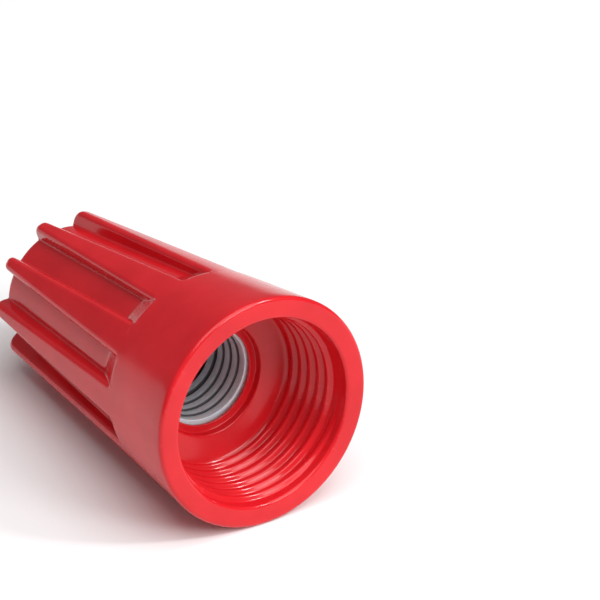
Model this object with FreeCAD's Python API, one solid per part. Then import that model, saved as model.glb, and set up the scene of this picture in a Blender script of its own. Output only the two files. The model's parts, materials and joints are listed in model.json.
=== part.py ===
"""Twist-on wire connector lying on its side: a moulded ribbed shell and the coil that grips the wires.

Both pieces are built upright on their own axis, mouth rim at z = 0 and tip at z = LENGTH.
They are then laid on the floor together: mouth towards -Y, tip towards +Y, +Z up.
"""
import math
import os

import FreeCAD
import Part

# Outer shape of the shell, mm
LENGTH = 27.0
SKIRT_RADIUS = 8.75
TIP_RADIUS = 6.1
RIM_ROUND = 0.3
RIB_TIP_ROUND = 1.0

# Ribs and the grooves between them
RIB_COUNT = 10
RIB_CREST_HALF_AT_TIP = 0.5
RIB_BASE_HALF_AT_TIP = 0.5
RIB_CREST_FLARE = 0.053
RIB_BASE_FLARE = 0.041
RIB_EDGE_ROUND = 0.42
RIB_ROOT_RADIUS = 3.2
RIB_FOOT_Z = 6.5
GROOVE_END_Z = 7.9
GROOVE_END_RADIUS = 7.87
GROOVE_FLOOR_Z = 10.2
GROOVE_BEND_ROUND = 1.2
FLOOR_RADIUS_AT_RAMP = 6.8
FLOOR_RADIUS_AT_TIP = 4.9
DISC_ROUND = 0.6

# Gate dimple and the ring of small pips on the tip disc
GATE_RADIUS = 0.8
GATE_FLOOR_RADIUS = 0.64
GATE_DEPTH = 0.45
GATE_RING_RADIUS = 1.35
GATE_RING_WIDTH = 0.22
MARK_HEIGHT = 0.12
MARK_SINK = 0.2
PIP_COUNT = 20
PIP_RADIUS = 0.2
PIP_CIRCLE = 3.1

# Bore of the skirt, from the mouth inwards
MOUTH_RADIUS = 7.1
MOUTH_CHAMFER = 0.25
LAND_DEPTH = 0.7
THREAD_ROOT_END_RADIUS = 6.4
THREAD_ROOT_END_Z = 6.35
FUNNEL_BEND = 0.5
STEP_RADIUS = 4.3
STEP_Z = 6.85
LEDGE_Z = 7.4
LIP_RADIUS = 3.72
LIP_END_Z = 7.6

# Moulded thread ridge
THREAD_PITCH = 0.94
THREAD_TURNS = 5.6
THREAD_FIRST_PIECE = 0.6
THREAD_START_Z = 0.92
THREAD_HEIGHT = 0.33
THREAD_BASE_HALF = 0.36
THREAD_CREST_HALF = 0.12
THREAD_SINK = 0.12
THREAD_FADE = 0.25
THREAD_FADE_SINK = 0.45

# Square-wire coil
SPRING_MOUTH_RADIUS = 3.57
SPRING_TAPER = 0.14
SPRING_START_Z = 7.64
WIRE_RADIAL = 0.85
WIRE_AXIAL = 0.72
COIL_START_TURN = 300 / 360
CLOSE_TURNS = 4.0
CLOSE_PITCH = 0.79
OPEN_TURNS = 8.0
OPEN_PITCH = 1.12
POINTS_PER_TURN = 24
POCKET_CLEARANCE = 0.12
POCKET_END_GAP = 0.4
POCKET_CONE = 0.9

# Overlaps and tolerances used while building
CUT_MARGIN = 1.0
MATCH = 0.01
LEAST_STEPS = 4

CREST_SLOPE = (GROOVE_END_RADIUS - TIP_RADIUS) / (LENGTH - GROOVE_END_Z)
FLOOR_SLOPE = (FLOOR_RADIUS_AT_RAMP - FLOOR_RADIUS_AT_TIP) / (LENGTH - GROOVE_FLOOR_Z)
AXIS = FreeCAD.Vector(0, 0, 1)
ORIGIN = FreeCAD.Vector(0, 0, 0)


def crest_radius(z):
    """Radius of the cone that the rib crests lie on; the skirt is a shade steeper and meets it."""
    return GROOVE_END_RADIUS - CREST_SLOPE * (z - GROOVE_END_Z)


def floor_radius(z):
    """Radius of the cone that the groove floors lie on."""
    return FLOOR_RADIUS_AT_TIP + FLOOR_SLOPE * (LENGTH - z)


def at(r, z):
    """Point of a profile in the half plane through the axis."""
    return FreeCAD.Vector(r, 0, z)


def lines(points):
    """Straight edges through the points in turn."""
    return [Part.makeLine(a, b) for a, b in zip(points, points[1:])]


def revolve(edges):
    """Solid of revolution about the axis from a closed chain of edges."""
    face = Part.Face(Part.Wire(Part.__sortEdges__(edges)))
    return face.revolve(ORIGIN, AXIS, 360)


def round_circles(solid, radius, places):
    """Round the circular edges that pass through the given (radius, z) places."""
    chosen = []
    for edge in solid.Edges:
        start = edge.Vertexes[0].Point
        for r, z in places:
            if abs(math.hypot(start.x, start.y) - r) < MATCH and abs(start.z - z) < MATCH:
                if isinstance(edge.Curve, Part.Circle):
                    chosen.append(edge)
    return solid.makeFillet(radius, chosen)


def core_and_skirt():
    """Round core with its tip disc, and the skirt below it, joined by the ramp that ends the grooves."""
    points = [
        at(0, 0),
        at(SKIRT_RADIUS, 0),
        at(GROOVE_END_RADIUS, GROOVE_END_Z),
        at(FLOOR_RADIUS_AT_RAMP, GROOVE_FLOOR_Z),
        at(FLOOR_RADIUS_AT_TIP, LENGTH),
        at(0, LENGTH),
        at(0, 0),
    ]
    solid = revolve(lines(points))
    solid = round_circles(solid, RIM_ROUND, [(SKIRT_RADIUS, 0)])
    solid = round_circles(solid, GROOVE_BEND_ROUND, [(FLOOR_RADIUS_AT_RAMP, GROOVE_FLOOR_Z)])
    return round_circles(solid, DISC_ROUND, [(FLOOR_RADIUS_AT_TIP, LENGTH)])


def rib_envelope():
    """Full cone with the rounded tip corner that the rib ends follow."""
    corners = [at(0, 0), at(crest_radius(0), 0), at(TIP_RADIUS, LENGTH), at(0, LENGTH), at(0, 0)]
    return round_circles(revolve(lines(corners)), RIB_TIP_ROUND, [(TIP_RADIUS, LENGTH)])


def rib_half_width(r, z):
    """Half thickness of a rib at radius r and height z."""
    below_tip = LENGTH - z
    base = RIB_BASE_HALF_AT_TIP + RIB_BASE_FLARE * below_tip
    crest = RIB_CREST_HALF_AT_TIP + RIB_CREST_FLARE * below_tip
    share = (r - floor_radius(z)) / (crest_radius(z) - floor_radius(z))
    return base + (crest - base) * share


def rib_section(z):
    """Closed cross-section of the rib wedge at height z."""
    outer = crest_radius(z) + CUT_MARGIN
    corners = []
    for r, side in ((RIB_ROOT_RADIUS, -1), (outer, -1), (outer, 1), (RIB_ROOT_RADIUS, 1)):
        corners.append(FreeCAD.Vector(r, side * rib_half_width(r, z), z))
    return Part.makePolygon(corners + corners[:1])


def flank_edges(rib):
    """Edges where the two rib flanks meet the crest, the tip corner and the tip face."""
    chosen = []
    for edge in rib.Edges:
        mid = edge.valueAt((edge.FirstParameter + edge.LastParameter) / 2)
        on_flank = abs(mid.y) > RIB_BASE_HALF_AT_TIP / 2
        if on_flank and mid.x > RIB_ROOT_RADIUS + MATCH and mid.z > RIB_FOOT_Z + MATCH:
            chosen.append(edge)
    return chosen


def make_rib():
    """One rib with rounded crest, from inside the core out to the envelope."""
    wedge = Part.makeLoft([rib_section(RIB_FOOT_Z), rib_section(LENGTH)], True, True)
    rib = wedge.common(rib_envelope())
    return rib.makeFillet(RIB_EDGE_ROUND, flank_edges(rib))


def turned(shape, index, count):
    """Copy of a shape turned about the axis to its place in a ring."""
    copy = shape.copy()
    copy.rotate(ORIGIN, AXIS, 360.0 * index / count)
    return copy


def pocket_radius(z):
    """Wall of the tapered pocket that holds the coil."""
    outer = SPRING_MOUTH_RADIUS + WIRE_RADIAL + POCKET_CLEARANCE
    return outer - SPRING_TAPER * (z - SPRING_START_Z)


def spring_end_z():
    """Height of the far face of the last coil."""
    return SPRING_START_Z + CLOSE_TURNS * CLOSE_PITCH + OPEN_TURNS * OPEN_PITCH + WIRE_AXIAL


def bore_tool():
    """Everything hollow in the shell apart from the thread ridge."""
    pocket_end = spring_end_z() + POCKET_END_GAP
    end_radius = pocket_radius(pocket_end)
    points = [
        at(0, -CUT_MARGIN),
        at(MOUTH_RADIUS + MOUTH_CHAMFER + CUT_MARGIN, -CUT_MARGIN),
        at(MOUTH_RADIUS, MOUTH_CHAMFER),
        at(MOUTH_RADIUS, LAND_DEPTH),
        at(THREAD_ROOT_END_RADIUS, THREAD_ROOT_END_Z),
        at(STEP_RADIUS, STEP_Z),
        at(STEP_RADIUS, LEDGE_Z),
        at(LIP_RADIUS, LEDGE_Z),
        at(LIP_RADIUS, LIP_END_Z),
        at(pocket_radius(LIP_END_Z), LIP_END_Z),
        at(end_radius, pocket_end),
        at(0, pocket_end + POCKET_CONE),
        at(0, -CUT_MARGIN),
    ]
    tool = revolve(lines(points))
    return round_circles(tool, FUNNEL_BEND, [(THREAD_ROOT_END_RADIUS, THREAD_ROOT_END_Z)])


def thread_point(turn):
    """Point on the thread path; the path sinks into the wall over both end fades."""
    slope = (MOUTH_RADIUS - THREAD_ROOT_END_RADIUS) / (THREAD_ROOT_END_Z - LAND_DEPTH)
    z = THREAD_START_Z + THREAD_PITCH * turn
    fade = max(0.0, 1 - turn / THREAD_FADE, 1 - (THREAD_TURNS - turn) / THREAD_FADE)
    r = MOUTH_RADIUS - slope * (z - LAND_DEPTH) + THREAD_FADE_SINK * fade * fade
    angle = 2 * math.pi * turn
    return FreeCAD.Vector(r * math.cos(angle), r * math.sin(angle), z)


def thread_piece(start, end):
    """Part of the rounded right-hand ridge, no more than one turn long."""
    steps = max(LEAST_STEPS, int(POINTS_PER_TURN * (end - start)))
    path = [thread_point(start + (end - start) * i / steps) for i in range(steps + 1)]
    outward = FreeCAD.Vector(path[0].x, path[0].y, 0).normalize()
    corners = []
    for depth, half in ((-THREAD_SINK, THREAD_BASE_HALF), (THREAD_HEIGHT, THREAD_CREST_HALF)):
        corners.append(path[0] - outward * depth - AXIS * half)
        corners.append(path[0] - outward * depth + AXIS * half)
    ring = [corners[0], corners[2], corners[3], corners[1], corners[0]]
    return sweep(path, Part.makePolygon(ring))


def thread_ridge():
    """The whole ridge as a run of pieces that meet end to end."""
    joins = [THREAD_FIRST_PIECE + turn for turn in range(int(THREAD_TURNS))]
    ends = [0.0] + joins + [THREAD_TURNS]
    return [thread_piece(a, b) for a, b in zip(ends, ends[1:])]


def sweep(path, section):
    """Solid swept by a section along a smooth path that winds round the axis."""
    curve = Part.BSplineCurve()
    curve.interpolate(path)
    pipe = Part.BRepOffsetAPI.MakePipeShell(Part.Wire(curve.toShape()))
    pipe.setBiNormalMode(AXIS)
    pipe.add(section)
    pipe.build()
    pipe.makeSolid()
    return pipe.shape()


def coil_point(turn):
    """Centre of the wire's section after a number of turns."""
    close = min(turn, CLOSE_TURNS)
    z = CLOSE_PITCH * close + OPEN_PITCH * (turn - close)
    r = SPRING_MOUTH_RADIUS + WIRE_RADIAL / 2 - SPRING_TAPER * z
    angle = 2 * math.pi * (COIL_START_TURN + turn)
    z += SPRING_START_Z + WIRE_AXIAL / 2
    return FreeCAD.Vector(r * math.cos(angle), r * math.sin(angle), z)


def make_spring():
    """Tapered coil of square wire, close wound at the mouth and opening out behind."""
    steps = int(POINTS_PER_TURN * (CLOSE_TURNS + OPEN_TURNS))
    path = [coil_point(i / POINTS_PER_TURN) for i in range(steps + 1)]
    outward = FreeCAD.Vector(path[0].x, path[0].y, 0).normalize()
    corners = []
    for side_r, side_z in ((-1, -1), (1, -1), (1, 1), (-1, 1)):
        offset = outward * (side_r * WIRE_RADIAL / 2) + AXIS * (side_z * WIRE_AXIAL / 2)
        corners.append(path[0] + offset)
    return sweep(path, Part.makePolygon(corners + corners[:1]))


def tip_marks():
    """Raised ring round the gate and a circle of small round pips on the disc."""
    foot_z = LENGTH - MARK_SINK
    height = MARK_SINK + MARK_HEIGHT
    outer = Part.makeCylinder(GATE_RING_RADIUS + GATE_RING_WIDTH, height, at(0, foot_z))
    inner = Part.makeCylinder(GATE_RING_RADIUS, height + CUT_MARGIN, at(0, foot_z))
    marks = [outer.cut(inner)]
    for index in range(PIP_COUNT):
        pip = Part.makeCylinder(PIP_RADIUS, height, at(PIP_CIRCLE, foot_z))
        marks.append(turned(pip, index, PIP_COUNT))
    return marks


def joined(body, pieces):
    """Body with the pieces fused on one after another."""
    for piece in pieces:
        body = body.fuse(piece)
    return body


def make_shell():
    """Complete moulded shell."""
    rib = make_rib()
    ribs = [turned(rib, index, RIB_COUNT) for index in range(RIB_COUNT)]
    body = joined(core_and_skirt(), ribs).removeSplitter()
    body = joined(body, tip_marks())
    gate = Part.makeCone(GATE_FLOOR_RADIUS, GATE_RADIUS, GATE_DEPTH + MATCH, at(0, LENGTH - GATE_DEPTH))
    hollow = body.cut(gate).cut(bore_tool())
    return joined(hollow, thread_ridge()).Solids[0]


def lie_down(shapes):
    """Lay the shapes on the floor: rim and two rib tips touching it, box centred on the origin."""
    contact_z = LENGTH - RIB_TIP_ROUND
    half_pitch = math.pi / RIB_COUNT
    hub = crest_radius(contact_z) - RIB_EDGE_ROUND
    aside = RIB_CREST_HALF_AT_TIP + RIB_CREST_FLARE * RIB_TIP_ROUND - RIB_EDGE_ROUND
    rib_reach = hub * math.cos(half_pitch) + aside * math.sin(half_pitch) + RIB_EDGE_ROUND
    lean = math.degrees(math.atan((SKIRT_RADIUS - rib_reach) / contact_z))
    for shape in shapes:
        shape.rotate(ORIGIN, FreeCAD.Vector(1, 0, 0), -90.0 - lean)
    box = shapes[0].optimalBoundingBox(True, False)
    shift = FreeCAD.Vector(-box.Center.x, -box.Center.y, -box.ZMin)
    for shape in shapes:
        shape.translate(shift)
    return lean, shift


def main():
    os.makedirs("parts", exist_ok=True)
    pieces = {"shell": make_shell(), "grip_spring": make_spring()}
    lean, shift = lie_down(list(pieces.values()))
    print("lean", round(lean, 4), "shift", [round(v, 4) for v in shift])
    for name, shape in pieces.items():
        box = shape.optimalBoundingBox(True, False)
        size = [round(v, 3) for v in (box.XLength, box.YLength, box.ZLength)]
        print(name, shape.ShapeType, shape.isValid(), round(shape.Volume, 2), size)
        shape.exportStep("parts/" + name + ".step")


main()
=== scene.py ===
"""Twist-on wire connector lying on its side: glossy red moulded shell round a zinc-plated coil.

Sizes are in millimetres on the connector's own axis, mouth rim at z = 0 and tip at z = LENGTH.
Every mesh is then laid along the axis of the record's mouth_face mount, in metres.
"""
import json
import math

import bpy
import numpy as np
from mathutils import Matrix, Vector


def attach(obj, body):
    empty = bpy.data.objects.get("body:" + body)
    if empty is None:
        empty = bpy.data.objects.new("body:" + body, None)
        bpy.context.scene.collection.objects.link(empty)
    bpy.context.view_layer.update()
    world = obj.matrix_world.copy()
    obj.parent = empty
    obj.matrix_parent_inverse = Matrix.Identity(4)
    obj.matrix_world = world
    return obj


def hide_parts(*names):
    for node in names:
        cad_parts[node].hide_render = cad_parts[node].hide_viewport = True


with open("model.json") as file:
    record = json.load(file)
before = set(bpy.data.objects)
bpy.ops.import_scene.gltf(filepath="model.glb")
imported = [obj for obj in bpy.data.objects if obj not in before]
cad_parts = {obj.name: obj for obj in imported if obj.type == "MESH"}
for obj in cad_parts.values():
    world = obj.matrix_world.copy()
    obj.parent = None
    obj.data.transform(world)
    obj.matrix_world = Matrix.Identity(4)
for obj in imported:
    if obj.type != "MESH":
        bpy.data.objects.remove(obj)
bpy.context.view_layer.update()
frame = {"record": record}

MM = 0.001

# Outer shape of the shell
LENGTH = 27.0
SKIRT_RADIUS = 8.75
TIP_RADIUS = 6.1
RIM_ROUND = 0.3
RIB_TIP_ROUND = 1.0

# Ribs and grooves
RIB_COUNT = 10
RIB_CREST_HALF_AT_TIP = 0.5
RIB_BASE_HALF_AT_TIP = 0.5
RIB_CREST_FLARE = 0.053
RIB_BASE_FLARE = 0.041
RIB_EDGE_ROUND = 0.42
RIB_ROOT_ROUND = 0.14
GROOVE_END_Z = 7.9
GROOVE_END_RADIUS = 7.87
GROOVE_END_ROUND = 0.05
GROOVE_CORNER_ROUND = 0.5
GROOVE_FLOOR_Z = 10.2
GROOVE_BEND_ROUND = 1.2
FLOOR_RADIUS_AT_RAMP = 6.8
FLOOR_RADIUS_AT_TIP = 4.9
DISC_ROUND = 0.6

# Tip disc
TIP_INSET = 0.0004
DISC_GRID_RADIUS = 3.62
GATE_RADIUS = 0.8
GATE_FLOOR_RADIUS = 0.62
GATE_DEPTH = 0.45
GATE_SOFT = 0.04
NUB_RADIUS = 0.3
NUB_HEIGHT = 0.2
NUB_SLOPE = 0.5
NUB_LUMPS = 3
NUB_LUMP_SHARE = 0.12
GATE_RING_RADIUS = 1.35
GATE_RING_WIDTH = 0.22
RING_SOFT = 0.03
RING_FLANK = 0.08
MARK_HEIGHT = 0.12
PIP_COUNT = 20
PIP_RADIUS = 0.2
PIP_CIRCLE = 3.1

# Rings of the tip disc's mesh, inwards: down to which radius, how far apart, how many columns
DISC_BANDS = (
    (PIP_CIRCLE + 0.24, 0.12, 480),
    (PIP_CIRCLE - 0.24, 0.04, 480),
    (1.66, 0.2, 480),
    (1.26, 0.025, 240),
    (0.9, 0.1, 240),
    (0.58, 0.025, 120),
    (0.4, 0.06, 120),
    (0.12, 0.025, 48),
)

# Bore of the skirt
MOUTH_RADIUS = 7.1
MOUTH_ROUND = 0.26
LAND_DEPTH = 0.7
THREAD_ROOT_END_RADIUS = 6.4
THREAD_ROOT_END_Z = 6.35
FUNNEL_BEND = 0.5
STEP_RADIUS = 4.3
STEP_Z = 6.85
STEP_ROUND = 0.12
LEDGE_Z = 7.4
LEDGE_ROUND = 0.1
LIP_RADIUS = 3.72
LIP_ROUND = 0.07
LIP_END_Z = 7.6

# Thread ridge moulded in the bore
THREAD_PITCH = 0.94
THREAD_TURNS = 5.6
THREAD_START_Z = 0.92
THREAD_HEIGHT = 0.33
THREAD_BASE_HALF = 0.36
THREAD_CREST_HALF = 0.06
THREAD_FADE = 0.25
THREAD_ROW = 0.05

# Coil of square wire
SPRING_MOUTH_RADIUS = 3.57
SPRING_TAPER = 0.14
SPRING_START_Z = 7.64
COIL_START_TURN = 300.0 / 360.0
WIRE_RADIAL = 0.85
WIRE_AXIAL = 0.72
WIRE_ROUND = 0.05
CLOSE_TURNS = 4.0
CLOSE_PITCH = 0.79
OPEN_TURNS = 8.0
OPEN_PITCH = 1.12
WIRE_END_SCALE = 0.86
WIRE_END_BULGE = 0.06
COIL_STEPS = 120
POCKET_CLEARANCE = 0.12
POCKET_END_GAP = 0.4
POCKET_CONE = 0.9

# Mesh density: columns in half a rib pitch on the crest, the flank and the floor
CREST_COLUMNS = 6
WALL_COLUMNS = 20
FLOOR_COLUMNS = 6
COLUMNS = CREST_COLUMNS + WALL_COLUMNS + FLOOR_COLUMNS
FILLET_WEIGHT = 4.0
ROOT_WEIGHT = 8.0
FIRST_ROW = 0.02
ROW_GROWTH = 1.12
LONGEST_ROW = 0.7
TIP_ROWS = 18
TIP_LEAD_IN = (-0.4, -0.2, -0.08)
TIP_LEAD_START = 0.5
START_STEP = 0.002
START_DEPTH = 4 * TIP_INSET

# Mesh density: points in the arcs of the rib edge, the rib root, the profiles and the wire
EDGE_POINTS = 25
ROOT_POINTS = 17
PROFILE_POINTS = 8
WIRE_CORNER_POINTS = 5

# Mesh density: the plain skirt's slices, which crowd towards the grooves and line up with their columns
SKIRT_ROWS = 14
SKIRT_CROWDING = 1.5
SKIRT_LAST_GAP = 0.01
RELAX_LENGTH = 3.6

# Mesh density: longest rows of the rim, the funnel and the pocket; where the threads' rows stop
RIM_ROW = 0.3
FUNNEL_ROW = 0.15
POCKET_ROW = 0.8
THREAD_ROWS_TO_Z = 5.0

# Colours, linear
RED_BRIGHT = (0.68, 0.013, 0.020)
RED_DEEP = (0.59, 0.009, 0.015)
RED_WORN = (0.75, 0.050, 0.060)
RED_GLOSS = 0.38
RED_IOR = 1.49
ZINC_DULL = (0.68, 0.84, 0.91)
ZINC_CLEAN = (0.88, 0.98, 1.0)
ZINC_WORN = (0.90, 0.97, 1.0)
# Painted shade: near-black colour for the wire's side faces in the gaps between turns
PAINTED_GAP_SHADE = (0.07, 0.08, 0.085)
ZINC_METALLIC = 0.22
GAP_FADE = 0.035
GAP_STARTS_AT_TURN = 0.9
PAPER_LOW = (0.87, 0.87, 0.87)
PAPER_HIGH = (0.92, 0.92, 0.92)

# View: azimuth, elevation and roll in degrees; centre and offset (right, up, back) in metres
VIEW_ANGLES = (-35.6, 30.1, 2.2)
VIEW_CENTRE = (0.0, 0.0, 0.0087)
VIEW_OFFSET = (0.01, 0.0023, 0.3257)
LENS = 270.0
SENSOR = 36.0

# Studio: name, place, aim, size (metres) and power (watts) of each softbox; colour of the rest
LIGHTS = (
    ("overhead", (0.0, -0.28, 0.7), (0.0, 0.0, 0.0), 0.8, 5.8),
    ("key", (0.285, -0.27, 0.385), (0.0, 0.0, 0.0), 0.07, 0.9),
    ("front", (0.15, -0.44, 0.24), (0.0, 0.0, 0.0), 0.16, 0.68),
)
WORLD_COLOUR = (0.95, 0.97, 1.0)
WORLD_STRENGTH = 0.22
FLOOR_REACH = 3.0

HALF_PITCH = math.pi / RIB_COUNT
SKIRT_SLOPE = (SKIRT_RADIUS - GROOVE_END_RADIUS) / GROOVE_END_Z
CREST_SLOPE = (GROOVE_END_RADIUS - TIP_RADIUS) / (LENGTH - GROOVE_END_Z)
CREST_NORM = math.hypot(1, CREST_SLOPE)
FLOOR_SLOPE = (FLOOR_RADIUS_AT_RAMP - FLOOR_RADIUS_AT_TIP) / (LENGTH - GROOVE_FLOOR_Z)
CORNER_Z = LENGTH - RIB_TIP_ROUND
CORNER_RADIUS = TIP_RADIUS + CREST_SLOPE * RIB_TIP_ROUND - RIB_TIP_ROUND * CREST_NORM


class Net:
    """Mesh under construction: points in millimetres on the connector's axis, and faces between them."""

    def __init__(self):
        self.points = []
        self.faces = []
        self.uvs = []
        self.count = 0

    def ring(self, xy, z):
        """Add a closed ring of points and return their numbers."""
        rows = np.column_stack([xy, np.broadcast_to(z, len(xy))])
        self.points.append(rows)
        numbers = np.arange(self.count, self.count + len(rows))
        self.count += len(rows)
        return numbers

    def bridge(self, a, b):
        """Quads between two closed rings of the same length."""
        for i in range(len(a)):
            j = (i + 1) % len(a)
            self.faces.append((a[i], a[j], b[j], b[i]))

    def stitch(self, a, b, angles_a, angles_b):
        """Triangles between two closed rings of different lengths, matched by angle."""
        i = j = 0
        while i < len(a) or j < len(b):
            next_a = angles_a[i + 1] if i + 1 < len(a) else angles_a[0] + 2 * math.pi
            next_b = angles_b[j + 1] if j + 1 < len(b) else angles_b[0] + 2 * math.pi
            step_a = j >= len(b) or (i < len(a) and next_a <= next_b)
            at_a, at_b = a[i % len(a)], b[j % len(b)]
            if step_a:
                self.faces.append((at_a, a[(i + 1) % len(a)], at_b))
                i += 1
            else:
                self.faces.append((at_a, b[(j + 1) % len(b)], at_b))
                j += 1

    def close(self, a, z):
        """Fan from a ring to one point on the axis."""
        centre = self.ring(np.zeros((1, 2)), z)[0]
        for i in range(len(a)):
            self.faces.append((a[i], a[(i + 1) % len(a)], centre))


def smooth(share):
    """Ease from 0 to 1 with level ends."""
    share = np.clip(share, 0.0, 1.0)
    return share * share * (3 - 2 * share)


def polar(radius, angles):
    """Points in the plane from radii and angles."""
    return np.column_stack([radius * np.cos(angles), radius * np.sin(angles)])


def rotated(points, angle):
    """Points in the plane turned about the axis."""
    c, s = math.cos(angle), math.sin(angle)
    return points @ np.array([[c, s], [-s, c]])


def full_ring(half):
    """Whole outline from the half pitch that runs from a rib's middle to a groove's middle."""
    mirrored = half[:0:-1] * (1, -1)
    parts = []
    for k in range(RIB_COUNT):
        parts.append(rotated(half[:-1], 2 * HALF_PITCH * k))
        parts.append(rotated(mirrored, 2 * HALF_PITCH * (k + 1)))
    return np.vstack(parts)


def crest_cone(z):
    """Radius of the cone that the rib crests lie on."""
    return GROOVE_END_RADIUS - CREST_SLOPE * (z - GROOVE_END_Z)


def envelope_radius(z, depth=0.0):
    """Radius of the skirt, the crest cone and its tip corner, set in by a depth."""
    corner = RIB_TIP_ROUND - depth
    if z > CORNER_Z + corner * CREST_SLOPE / CREST_NORM:
        return CORNER_RADIUS + math.sqrt(max(0.0, corner ** 2 - (z - CORNER_Z) ** 2))
    if z < GROOVE_END_Z:
        return SKIRT_RADIUS - SKIRT_SLOPE * z
    return crest_cone(z) - depth * CREST_NORM


def cone_floor(z):
    """Radius of the cone that the groove floors lie on."""
    return FLOOR_RADIUS_AT_TIP + FLOOR_SLOPE * (LENGTH - z)


def floor_radius(z):
    """Radius of the groove floor at any height, with the ramp, its soft end and the disc's edge."""
    if z > LENGTH - DISC_ROUND:
        edge = z - (LENGTH - DISC_ROUND)
        return cone_floor(z) - DISC_ROUND + math.sqrt(DISC_ROUND ** 2 - edge ** 2)
    depth = envelope_radius(z) - float(np.interp(z, GROOVE_LINE[:, 1], GROOVE_LINE[:, 0]))
    if z < GROOVE_FLOOR_Z and depth < GROOVE_END_ROUND:
        depth = max(0.0, depth + GROOVE_END_ROUND) ** 2 / (4 * GROOVE_END_ROUND)
    return envelope_radius(z) - depth


def arc_points(centre, radius, start, sweep, count):
    """Points of an arc in the plane of a slice."""
    angles = start + np.linspace(0, sweep, count)
    return centre + polar(radius, angles)


def turn_between(a, b):
    """Signed angle from one direction to another."""
    return math.atan2(a[0] * b[1] - a[1] * b[0], a @ b)


def rib_outline(z):
    """Half pitch of the outer outline at a height: crest, rounded edge, flank, root and floor."""
    below = LENGTH - z
    base = RIB_BASE_HALF_AT_TIP + RIB_BASE_FLARE * below
    crest = RIB_CREST_HALF_AT_TIP + RIB_CREST_FLARE * below
    cone = crest_cone(z)
    tilt = (crest - base) / (cone - cone_floor(z))
    normal = np.array([-tilt, 1.0]) / math.hypot(1, tilt)
    along = np.array([1.0, tilt]) / math.hypot(1, tilt)
    line = (base - tilt * cone_floor(z)) / math.hypot(1, tilt)
    short = min(GROOVE_CORNER_ROUND, max(0.0, GROOVE_END_Z + GROOVE_CORNER_ROUND - z))
    line += GROOVE_CORNER_ROUND - math.sqrt(GROOVE_CORNER_ROUND ** 2 - short ** 2)

    inner = line - RIB_EDGE_ROUND
    hub = cone - RIB_EDGE_ROUND * CREST_NORM
    centre = inner * normal + math.sqrt(hub ** 2 - inner ** 2) * along
    heading = math.atan2(centre[1], centre[0])
    out = np.array([math.cos(heading), math.sin(heading)])
    across = np.array([-out[1], out[0]])
    last = math.atan2(normal @ across, normal @ out)
    if below < RIB_EDGE_ROUND:
        last = min(last, math.acos(1 - below / RIB_EDGE_ROUND))

    floor = floor_radius(z)
    ring = floor + RIB_ROOT_ROUND
    edge = fillet_points(z, out, across, last)
    level = normal @ edge[-1]
    root = (level + RIB_ROOT_ROUND) * normal
    root = root + math.sqrt(ring ** 2 - (level + RIB_ROOT_ROUND) ** 2) * along
    if (edge[-1] - root) @ along < 0:
        gap = RIB_EDGE_ROUND + RIB_ROOT_ROUND
        bend = math.acos(min(1.0, (ring ** 2 + hub ** 2 - gap ** 2) / (2 * ring * hub)))
        root = polar(ring, np.array([heading + bend]))[0]
        edge = fillet_points(z, out, across, turn_between(out, root - centre))
        start = edge[-1] - root
    else:
        start = -normal
    begin = math.atan2(start[1], start[0])
    foot = arc_points(root, RIB_ROOT_ROUND, begin, turn_between(start, -root), ROOT_POINTS)

    wall = np.vstack([edge, foot])
    weights = np.ones(len(wall) - 1)
    weights[:len(edge) - 1] = FILLET_WEIGHT
    weights[len(edge):] = ROOT_WEIGHT
    steps = np.linalg.norm(np.diff(wall, axis=0), axis=1) * weights
    places = np.concatenate([[0], np.cumsum(steps)])
    wanted = np.linspace(0, places[-1], WALL_COLUMNS + 1)
    wall = np.column_stack([np.interp(wanted, places, wall[:, i]) for i in range(2)])

    crest_angles = np.linspace(0, heading, CREST_COLUMNS + 1)[:-1]
    floor_start = math.atan2(root[1], root[0])
    floor_angles = np.linspace(floor_start, HALF_PITCH, FLOOR_COLUMNS + 1)[1:]
    return np.vstack([polar(envelope_radius(z), crest_angles), wall, polar(floor, floor_angles)])


def fillet_points(z, out, across, last):
    """Rounded rib edge in a slice, from the crest to the given turn towards the flank."""
    turns = np.linspace(0, last, EDGE_POINTS)
    reach = [envelope_radius(z, RIB_EDGE_ROUND * (1 - math.cos(t))) for t in turns]
    return np.outer(reach, out) + np.outer(RIB_EDGE_ROUND * np.sin(turns), across)


def rib_rows():
    """Heights of the slices from the groove ends up to the tip face."""
    start = GROOVE_END_Z
    while envelope_radius(start) - floor_radius(start) > START_DEPTH:
        start -= START_STEP
    rows = [start]
    step = FIRST_ROW
    while rows[-1] + step < CORNER_Z - TIP_LEAD_START:
        rows.append(rows[-1] + step)
        step = min(step * ROW_GROWTH, LONGEST_ROW)
    for lift in TIP_LEAD_IN:
        rows.append(CORNER_Z + lift)
    for i in range(TIP_ROWS):
        rows.append(CORNER_Z + RIB_TIP_ROUND * math.sin(0.5 * math.pi * i / TIP_ROWS))
    rows.append(LENGTH - TIP_INSET)
    return rows


def rounded_profile(corners):
    """Profile (radius, z) through corners given as (radius, z, round), with arcs at the rounds."""
    path = []
    for i, (r, z, bend) in enumerate(corners):
        here = np.array([r, z], float)
        if bend == 0:
            path.append(here)
            continue
        before = np.array(corners[i - 1][:2]) - here
        after = np.array(corners[i + 1][:2]) - here
        before /= np.linalg.norm(before)
        after /= np.linalg.norm(after)
        half = 0.5 * math.acos(before @ after)
        centre = here + (before + after) / np.linalg.norm(before + after) * bend / math.sin(half)
        first = here + before * bend / math.tan(half) - centre
        turn = turn_between(first, here + after * bend / math.tan(half) - centre)
        begin = math.atan2(first[1], first[0])
        path.extend(arc_points(centre, bend, begin, turn, PROFILE_POINTS))
    return path


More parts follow.
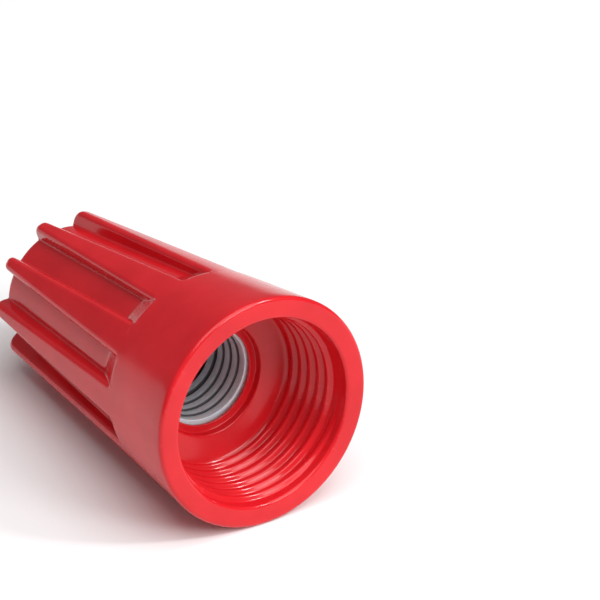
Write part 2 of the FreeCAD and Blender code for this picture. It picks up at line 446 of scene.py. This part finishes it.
RAMP_SLOPE = (GROOVE_END_RADIUS - FLOOR_RADIUS_AT_RAMP) / (GROOVE_FLOOR_Z - GROOVE_END_Z)
GROOVE_LINE = np.array(rounded_profile([
    (FLOOR_RADIUS_AT_RAMP + RAMP_SLOPE * GROOVE_FLOOR_Z, 0.0, 0),
    (FLOOR_RADIUS_AT_RAMP, GROOVE_FLOOR_Z, GROOVE_BEND_ROUND),
    (FLOOR_RADIUS_AT_TIP, LENGTH, 0),
]))


def subdivided(path, longest):
    """Profile with extra points wherever a straight is longer than the given length."""
    out = [path[0]]
    for point in path[1:]:
        gap = np.linalg.norm(point - out[-1])
        parts = max(1, math.ceil(gap / longest))
        start = out[-1]
        out.extend(start + (point - start) * i / parts for i in range(1, parts + 1))
    return out


def spring_end_z():
    """Height of the far face of the last coil."""
    return SPRING_START_Z + CLOSE_TURNS * CLOSE_PITCH + OPEN_TURNS * OPEN_PITCH + WIRE_AXIAL


def pocket_radius(z):
    """Wall of the tapered pocket that holds the coil."""
    outer = SPRING_MOUTH_RADIUS + WIRE_RADIAL + POCKET_CLEARANCE
    return outer - SPRING_TAPER * (z - SPRING_START_Z)


def thread_rise(angles, z):
    """Height of the right-hand ridge above the bore wall, fading out at both ends."""
    turn = angles / (2 * math.pi)
    place = np.round((z - THREAD_START_Z) / THREAD_PITCH - turn) + turn
    away = np.abs(z - THREAD_START_Z - THREAD_PITCH * place)
    fade = smooth(place / THREAD_FADE) * smooth((THREAD_TURNS - place) / THREAD_FADE)
    flank = (THREAD_BASE_HALF - away) / (THREAD_BASE_HALF - THREAD_CREST_HALF)
    return THREAD_HEIGHT * fade * smooth(flank)


def bore_profiles():
    """Profiles of the inside, from the outer rim round to the closed end of the pocket."""
    end = spring_end_z() + POCKET_END_GAP
    mouth = rounded_profile([
        (SKIRT_RADIUS - SKIRT_SLOPE, 1.0, 0),
        (SKIRT_RADIUS, 0.0, RIM_ROUND),
        (MOUTH_RADIUS, 0.0, MOUTH_ROUND),
        (MOUTH_RADIUS, LAND_DEPTH, 0),
    ])
    wall = rounded_profile([
        (MOUTH_RADIUS, LAND_DEPTH, 0),
        (THREAD_ROOT_END_RADIUS, THREAD_ROOT_END_Z, FUNNEL_BEND),
        (STEP_RADIUS, STEP_Z, STEP_ROUND),
        (STEP_RADIUS, LEDGE_Z, LEDGE_ROUND),
        (LIP_RADIUS, LEDGE_Z, LIP_ROUND),
        (LIP_RADIUS, LIP_END_Z, 0),
    ])
    pocket = [
        np.array([pocket_radius(LIP_END_Z), LIP_END_Z]),
        np.array([pocket_radius(end), end]),
    ]
    bend = next(i for i, point in enumerate(wall) if point[1] > THREAD_ROWS_TO_Z)
    threaded = subdivided(wall[:bend + 1], THREAD_ROW)
    funnel = subdivided(wall[bend:], FUNNEL_ROW)
    rim = subdivided(mouth[1:], RIM_ROW)
    return rim, threaded[1:] + funnel[1:], subdivided(pocket, POCKET_ROW), end + POCKET_CONE


def disc_height(r, angle):
    """Relief of the tip disc: gate dimple with its nub, ring and pips."""
    gate = GATE_RADIUS + GATE_SOFT
    dimple = smooth((gate - r) / (gate - GATE_FLOOR_RADIUS))
    lumpy = 1 + NUB_LUMP_SHARE * np.sin(NUB_LUMPS * angle + 1)
    nub = smooth((NUB_RADIUS * lumpy - r) / (NUB_SLOPE * NUB_RADIUS))
    mid = GATE_RING_RADIUS + GATE_RING_WIDTH / 2
    ring = smooth((GATE_RING_WIDTH / 2 + RING_SOFT - abs(r - mid)) / RING_FLANK)
    step = 2 * math.pi / PIP_COUNT
    aside = (angle - step * np.round(angle / step)) * r
    from_pip = np.hypot(aside, r - PIP_CIRCLE)
    pip = np.sqrt(np.clip(1 - (from_pip / PIP_RADIUS) ** 2, 0, 1))
    return MARK_HEIGHT * (ring + pip) - GATE_DEPTH * dimple + NUB_HEIGHT * nub


def disc_rows():
    """(radius, columns) of the rings on the tip disc, from its edge to the middle."""
    rows = []
    r = DISC_GRID_RADIUS
    for end, step, columns in DISC_BANDS:
        while r > end:
            rows.append((r, columns))
            r -= step
    return rows


def add_disc(net, edge, edge_angles):
    """Fill the tip disc inwards from its outer edge."""
    last, last_angles = edge, edge_angles
    for r, columns in disc_rows():
        angles = np.arange(columns) * 2 * math.pi / columns
        ring = net.ring(polar(r, angles), LENGTH - TIP_INSET + disc_height(r, angles))
        if len(ring) == len(last):
            net.bridge(last, ring)
        else:
            net.stitch(last, ring, last_angles, angles)
        last, last_angles = ring, angles
    net.close(last, LENGTH - GATE_DEPTH + NUB_HEIGHT)


def add_rib_tops(net, ring):
    """Grid over the flat top of each rib; returns the disc's edge and its angles."""
    xy = np.vstack(net.points)[ring][:, :2]
    edge = []
    period = 2 * COLUMNS
    last = CREST_COLUMNS + WALL_COLUMNS
    for k in range(RIB_COUNT):
        right = [ring[(period * k + i) % len(ring)] for i in range(last + 1)]
        left = [ring[(period * k - i) % len(ring)] for i in range(last + 1)]
        row = left[CREST_COLUMNS:0:-1] + right[:CREST_COLUMNS + 1]
        for i in range(CREST_COLUMNS + 1, last + 1):
            a = xy[(period * k - i) % len(ring)]
            b = xy[(period * k + i) % len(ring)]
            shares = np.linspace(0, 1, 2 * CREST_COLUMNS + 1)[1:-1, None]
            middle = net.ring(a + (b - a) * shares, LENGTH - TIP_INSET)
            new = [left[i]] + list(middle) + [right[i]]
            for j in range(len(row) - 1):
                net.faces.append((row[j], row[j + 1], new[j + 1], new[j]))
            row = new
        edge += row
        edge += [ring[(period * k + i) % len(ring)] for i in range(last + 1, period - last)]
    places = np.vstack(net.points)[edge]
    angles = np.arctan2(places[:, 1], places[:, 0])
    first = int(np.argmin(np.where(angles < -1e-9, 9.0, angles)))
    edge = np.array(edge[first:] + edge[:first])
    angles = np.mod(np.roll(angles, -first), 2 * math.pi)
    angles[0] = min(angles[0], abs(angles[0] - 2 * math.pi))
    return edge, angles


def shell_net():
    """Whole surface of the shell, from the closed end of the pocket out and round to the tip."""
    net = Net()
    uniform = np.linspace(0, HALF_PITCH, COLUMNS + 1)
    circle = full_ring(polar(1.0, uniform))
    angles = np.mod(np.arctan2(circle[:, 1], circle[:, 0]), 2 * math.pi)
    mouth, bore, pocket, apex = bore_profiles()
    rings = []
    for r, z in reversed(pocket):
        rings.append(net.ring(circle * r, z))
    net.close(rings[0][::-1], apex)
    for r, z in reversed(bore):
        reach = r - thread_rise(angles, z)
        rings.append(net.ring(circle * reach[:, None], z))
    for r, z in reversed(mouth):
        rings.append(net.ring(circle * r, z))

    rows = rib_rows()
    first = rib_outline(rows[0])
    fixed = np.arctan2(first[:, 1], first[:, 0])
    low = mouth[0][1]
    for i in range(1, SKIRT_ROWS + 1):
        z = low + (rows[0] - low) * (1 - (1 - i / SKIRT_ROWS) ** SKIRT_CROWDING)
        if i == SKIRT_ROWS:
            z = rows[0] - SKIRT_LAST_GAP
        mix = smooth((z - (rows[0] - RELAX_LENGTH)) / RELAX_LENGTH)
        bend = uniform + (fixed - uniform) * mix
        rings.append(net.ring(full_ring(polar(envelope_radius(z), bend)), z))
    for z in rows:
        rings.append(net.ring(full_ring(rib_outline(z)), z))
    for a, b in zip(rings, rings[1:]):
        net.bridge(a, b)
    edge, edge_angles = add_rib_tops(net, rings[-1])
    add_disc(net, edge, edge_angles)
    return net


def coil_place(turn):
    """Radius, angle and height of the middle of the wire after a number of turns."""
    close = min(turn, CLOSE_TURNS)
    z = CLOSE_PITCH * close + OPEN_PITCH * (turn - close)
    radius = SPRING_MOUTH_RADIUS + WIRE_RADIAL / 2 - SPRING_TAPER * z
    angle = 2 * math.pi * (turn + COIL_START_TURN)
    return radius, angle, z + SPRING_START_Z + WIRE_AXIAL / 2


def wire_section():
    """Square wire section with rounded corners, as (radial, axial) offsets, anticlockwise."""
    section = []
    reach = np.array([WIRE_RADIAL / 2 - WIRE_ROUND, WIRE_AXIAL / 2 - WIRE_ROUND])
    for quarter, sign in enumerate(((1, 1), (-1, 1), (-1, -1), (1, -1))):
        begin = 0.5 * math.pi * quarter
        section.extend(arc_points(reach * sign, WIRE_ROUND, begin, 0.5 * math.pi, WIRE_CORNER_POINTS))
    return np.array(section)


def spring_net():
    """Coil swept along its opening, tapering helix, with the lengths along and round it."""
    net = Net()
    section = wire_section()
    last = int(COIL_STEPS * (CLOSE_TURNS + OPEN_TURNS))
    rings = []
    scales = [WIRE_END_SCALE] + [1.0] * (last + 1) + [WIRE_END_SCALE]
    steps = [0] + list(range(last + 1)) + [last]
    nudges = [-WIRE_END_BULGE] + [0.0] * (last + 1) + [WIRE_END_BULGE]
    for scale, step, nudge in zip(scales, steps, nudges):
        radius, angle, z = coil_place(step / COIL_STEPS)
        angle += nudge / radius
        reach = radius + section[:, 0] * scale
        places = np.column_stack([reach * math.cos(angle), reach * math.sin(angle)])
        rings.append(net.ring(places, z + section[:, 1] * scale))
    around = np.linalg.norm(np.diff(np.vstack([section, section[:1]]), axis=0), axis=1)
    around = MM * np.concatenate([[0], np.cumsum(around)])
    stride = MM * 2 * math.pi * SPRING_MOUTH_RADIUS / COIL_STEPS
    for k, (a, b) in enumerate(zip(rings, rings[1:])):
        net.bridge(a, b)
        for v, w in zip(around, around[1:]):
            net.uvs += [(k * stride, v), (k * stride, w), ((k + 1) * stride, w), ((k + 1) * stride, v)]
    for cap in (rings[0][::-1], rings[-1]):
        net.faces.append(tuple(cap))
        net.uvs += [(0.0, 0.0)] * len(cap)
    return net


def placement():
    """Matrix from the connector's axis, in millimetres, to the row frame, in metres."""
    mounts = {mount["name"]: mount for mount in frame["record"]["mounts"]}
    mouth = mounts["mouth_face"]
    tipward = -Vector(mouth["axis"]).normalized()
    side = Vector((1.0, 0.0, 0.0))
    matrix = Matrix((side, tipward.cross(side), tipward)).transposed().to_4x4()
    matrix = matrix @ Matrix.Scale(MM, 4)
    matrix.translation = Vector((0.0, mouth["pos_m"][1], mouth["pos_m"][2]))
    return matrix


def make_piece(name, net, node, material):
    """Blender object from a net, standing for a CAD node."""
    mesh = bpy.data.meshes.new(name)
    points = np.vstack(net.points)
    mesh.from_pydata(points.tolist(), [], [tuple(int(i) for i in face) for face in net.faces])
    if net.uvs:
        layer = mesh.uv_layers.new(name="wire")
        layer.data.foreach_set("uv", np.array(net.uvs, dtype=np.float32).ravel())
    mesh.transform(placement())
    mesh.validate()
    mesh.shade_smooth()
    piece = bpy.data.objects.new(name, mesh)
    bpy.context.scene.collection.objects.link(piece)
    mesh.materials.append(material)
    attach(piece, "root")
    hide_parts(node)
    return piece


class Nodes:
    """Short-hand for building one node material."""

    def __init__(self, name):
        self.material = bpy.data.materials.new(name)
        self.material.use_nodes = True
        self.tree = self.material.node_tree
        self.shader = self.tree.nodes["Principled BSDF"]
        self.coords = self.tree.nodes.new("ShaderNodeTexCoord")

    def link(self, output, socket):
        """Join an output to an input."""
        self.tree.links.new(output, socket)

    def noise(self, size_mm, detail, vector=None, roughness=0.5):
        """Noise whose features are about the given size across; 0.5 in the middle."""
        node = self.tree.nodes.new("ShaderNodeTexNoise")
        node.inputs["Scale"].default_value = 1.0 / (size_mm * MM)
        node.inputs["Detail"].default_value = detail
        node.inputs["Roughness"].default_value = roughness
        self.link(vector or self.coords.outputs["Object"], node.inputs["Vector"])
        return node.outputs["Fac"]

    def spread(self, value, low, high, to_low, to_high):
        """Value mapped from one range to another, held at the ends."""
        node = self.tree.nodes.new("ShaderNodeMapRange")
        for name, number in zip(("From Min", "From Max", "To Min", "To Max"), (low, high, to_low, to_high)):
            node.inputs[name].default_value = number
        self.link(value, node.inputs["Value"])
        return node.outputs["Result"]

    def mix(self, share, first, second):
        """Colour between two; each is a colour or an output."""
        node = self.tree.nodes.new("ShaderNodeMix")
        node.data_type = "RGBA"
        self.link(share, node.inputs["Factor"])
        for socket, colour in ((node.inputs[6], first), (node.inputs[7], second)):
            if isinstance(colour, tuple):
                socket.default_value = (*colour, 1.0)
            else:
                self.link(colour, socket)
        return node.outputs[2]

    def math(self, operation, first, second):
        """Arithmetic on an output and an output or number."""
        node = self.tree.nodes.new("ShaderNodeMath")
        node.operation = operation
        for socket, value in zip(node.inputs, (first, second)):
            if isinstance(value, float):
                socket.default_value = value
            else:
                self.link(value, socket)
        return node.outputs[0]

    def bump(self, height, depth_mm, before=None):
        """Normal pushed about by a height of 0 to 1, scaled to a depth."""
        node = self.tree.nodes.new("ShaderNodeBump")
        node.inputs["Strength"].default_value = 1.0
        node.inputs["Distance"].default_value = depth_mm * MM
        self.link(height, node.inputs["Height"])
        if before:
            self.link(before, node.inputs["Normal"])
        return node.outputs["Normal"]

    def edges(self, low, high):
        """0 on flats and hollows, 1 on sharp outer edges."""
        node = self.tree.nodes.new("ShaderNodeNewGeometry")
        return self.spread(node.outputs["Pointiness"], low, high, 0.0, 1.0)

    def finish(self, colour, roughness, normal):
        """Join the last values to the shader."""
        self.link(colour, self.shader.inputs["Base Color"])
        self.link(roughness, self.shader.inputs["Roughness"])
        self.link(normal, self.shader.inputs["Normal"])
        return self.material


def red_plastic():
    """Glossy moulded thermoplastic: faint flow marks, worn edges, fine scuffs and a wavy skin."""
    make = Nodes("red_plastic")
    cloud = make.noise(5.0, 3.0)
    flow = make.mix(make.spread(cloud, 0.35, 0.65, 0.0, 1.0), RED_DEEP, RED_BRIGHT)
    edge = make.edges(0.52, 0.62)
    colour = make.mix(make.math("MULTIPLY", edge, 0.2), flow, RED_WORN)
    patch = make.spread(make.noise(2.6, 4.0), 0.3, 0.7, 0.11, 0.2)
    stretch = make.tree.nodes.new("ShaderNodeMapping")
    stretch.inputs["Scale"].default_value = (1.0, 0.07, 0.45)
    stretch.inputs["Rotation"].default_value = (0.1, 0.0, 0.5)
    make.link(make.coords.outputs["Object"], stretch.inputs["Vector"])
    scuff = make.spread(make.noise(0.16, 1.0, stretch.outputs["Vector"]), 0.62, 0.72, 0.0, 1.0)
    roughness = make.math("ADD", patch, make.math("MULTIPLY", scuff, 0.03))
    normal = make.bump(make.noise(4.0, 1.0), 0.022)
    normal = make.bump(make.noise(0.5, 2.0), 0.0011, normal)
    make.shader.inputs["IOR"].default_value = RED_IOR
    make.shader.inputs["Specular IOR Level"].default_value = RED_GLOSS
    return make.finish(colour, roughness, normal)


def painted_gap_shade_faces(make):
    """Mask for painted shade: 1 on the faces that look at the next turns, where shade falls in the narrow
    gaps, apart from the open face of the first turn.
    """
    place = make.tree.nodes.new("ShaderNodeSeparateXYZ")
    make.link(make.coords.outputs["UV"], place.inputs["Vector"])
    inner_middle = math.pi * WIRE_ROUND + WIRE_RADIAL - 2 * WIRE_ROUND + WIRE_AXIAL / 2 - WIRE_ROUND
    off_middle = make.math("ABSOLUTE", make.math("SUBTRACT", place.outputs["Y"], inner_middle * MM), 0.0)
    edge_at = (WIRE_AXIAL / 2 - WIRE_ROUND) * MM
    side = make.spread(off_middle, edge_at - GAP_FADE * MM, edge_at + GAP_FADE * MM, 0.0, 1.0)
    turn_length = 2 * math.pi * SPRING_MOUTH_RADIUS * MM
    past_first = make.spread(place.outputs["X"], GAP_STARTS_AT_TURN * turn_length, turn_length, 0.0, 1.0)
    return make.math("MULTIPLY", side, past_first)


def zinc_plate():
    """Zinc-plated spring wire: satin, with draw lines along the wire, worn corners and painted shade on the
    side faces in the gaps between turns.
    """
    make = Nodes("zinc_plated_steel")
    stretch = make.tree.nodes.new("ShaderNodeMapping")
    stretch.inputs["Scale"].default_value = (0.06, 1.0, 1.0)
    make.link(make.coords.outputs["UV"], stretch.inputs["Vector"])
    lines = make.noise(0.05, 3.0, stretch.outputs["Vector"], 0.6)
    cloud = make.noise(0.8, 4.0)
    tone = make.math("ADD", make.math("MULTIPLY", lines, 0.55), make.math("MULTIPLY", cloud, 0.45))
    colour = make.mix(make.spread(tone, 0.35, 0.65, 0.0, 1.0), ZINC_DULL, ZINC_CLEAN)
    edge = make.edges(0.51, 0.58)
    colour = make.mix(make.math("MULTIPLY", edge, 0.2), colour, ZINC_WORN)
    # Painted shade: the wire's side faces in the gaps between turns take a near-black colour
    colour = make.mix(painted_gap_shade_faces(make), colour, PAINTED_GAP_SHADE)
    roughness = make.spread(tone, 0.3, 0.7, 0.62, 0.42)
    roughness = make.math("SUBTRACT", roughness, make.math("MULTIPLY", edge, 0.12))
    normal = make.bump(lines, 0.006)
    normal = make.bump(make.noise(0.12, 2.0), 0.002, normal)
    make.shader.inputs["Metallic"].default_value = ZINC_METALLIC
    return make.finish(colour, roughness, normal)


def floor_paper():
    """Matt white paper sweep with a faint tooth."""
    make = Nodes("floor_paper")
    colour = make.mix(make.noise(30.0, 3.0), PAPER_LOW, PAPER_HIGH)
    roughness = make.spread(make.noise(1.5, 2.0), 0.3, 0.7, 0.85, 0.95)
    return make.finish(colour, roughness, make.bump(make.noise(0.6, 2.0), 0.004))


def add_light(name, place, aim, size, power):
    """Square softbox that the camera itself doesn't see."""
    data = bpy.data.lights.new(name, "AREA")
    data.size = size
    data.energy = power
    light = bpy.data.objects.new(name, data)
    light.location = place
    light.rotation_mode = "QUATERNION"
    light.rotation_quaternion = (Vector(aim) - Vector(place)).to_track_quat("-Z", "Y")
    light.visible_camera = False
    bpy.context.scene.collection.objects.link(light)


def add_floor():
    """Pale floor under the connector."""
    reach = FLOOR_REACH
    mesh = bpy.data.meshes.new("floor")
    mesh.from_pydata([(-reach, -reach, 0), (reach, -reach, 0), (reach, reach, 0), (-reach, reach, 0)],
                     [], [(0, 1, 2, 3)])
    floor = bpy.data.objects.new("floor", mesh)
    mesh.materials.append(floor_paper())
    bpy.context.scene.collection.objects.link(floor)


def add_camera():
    """Long lens from the mouth side, above and to the left of the connector."""
    azimuth, elevation, roll = (math.radians(angle) for angle in VIEW_ANGLES)
    back = Vector((math.sin(azimuth) * math.cos(elevation), -math.cos(azimuth) * math.cos(elevation),
                   math.sin(elevation)))
    right = Vector((math.cos(azimuth), math.sin(azimuth), 0.0))
    up = back.cross(right)
    across = right * math.cos(roll) + up * math.sin(roll)
    axes = (across, back.cross(across), back)
    data = bpy.data.cameras.new("camera")
    data.lens = LENS
    data.sensor_width = SENSOR
    camera = bpy.data.objects.new("camera", data)
    matrix = Matrix(axes).transposed().to_4x4()
    matrix.translation = Vector(VIEW_CENTRE) + sum((a * d for a, d in zip(axes, VIEW_OFFSET)), Vector())
    camera.matrix_world = matrix
    bpy.context.scene.collection.objects.link(camera)
    bpy.context.scene.camera = camera


def add_world():
    """Dim even surroundings."""
    world = bpy.data.worlds.new("studio")
    world.use_nodes = True
    background = world.node_tree.nodes["Background"]
    background.inputs["Color"].default_value = (*WORLD_COLOUR, 1)
    background.inputs["Strength"].default_value = WORLD_STRENGTH
    bpy.context.scene.world = world


add_camera()
make_piece("shell_body", shell_net(), "shell", red_plastic())
make_piece("spring_coil", spring_net(), "grip_spring", zinc_plate())
add_floor()
for light in LIGHTS:
    add_light(*light)
add_world()
bpy.context.scene.view_settings.view_transform = "Standard"
